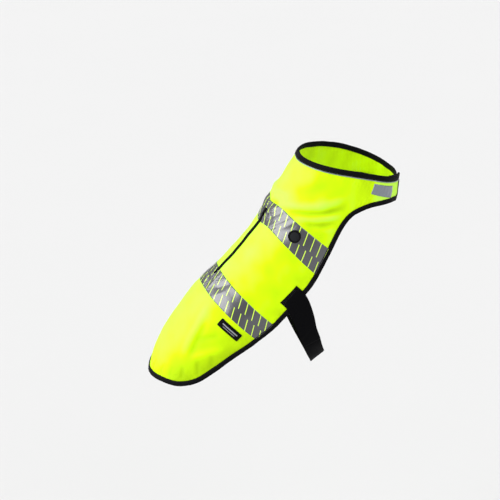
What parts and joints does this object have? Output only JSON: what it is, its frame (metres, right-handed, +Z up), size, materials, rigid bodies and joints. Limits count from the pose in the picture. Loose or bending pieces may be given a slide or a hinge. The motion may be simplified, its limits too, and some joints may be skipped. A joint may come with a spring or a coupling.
{
  "type": "dog safety vest",
  "caption": "High-visibility vest for a large dog in its worn form, with reflective tapes, bound edges, a lead opening and a belly strap.",
  "frame": {"origin": "on the inner face of the cloth, on the spine between the two reflective tapes, where the wearer's back holds the vest", "axes": "+X forward, the way the wearer faces; +Z up; the wearer's right side, with the badge and label, is -Y"},
  "size_m": [0.5215, 0.2314, 0.4621],
  "materials": {
    "yellow_cloth": "fluorescent yellow woven polyester, satin",
    "black_binding": "black ribbed binding tape",
    "reflective_tape": "grey retroreflective tape with a silvery sheen",
    "black_strap": "black woven elastic",
    "label_ribbon": "black woven ribbon, left without words",
    "rubber": "dark grey moulded rubber, matt"
  },
  "bodies": {
    "root": {"back_panel": "yellow_cloth", "lower_edge_binding": "black_binding", "neck_binding": "black_binding", "neck_piping": "reflective_tape", "lower_reflective_tape": "reflective_tape", "upper_reflective_tape": "reflective_tape", "slit_binding": "black_binding", "slit_end_tab": "black_binding", "rubber_badge": "rubber", "woven_label": "label_ribbon", "chest_patch_right": "reflective_tape", "chest_patch_left": "reflective_tape", "belly_strap_right": "black_strap", "belly_strap_left": "black_strap"}
  },
  "joints": []
}
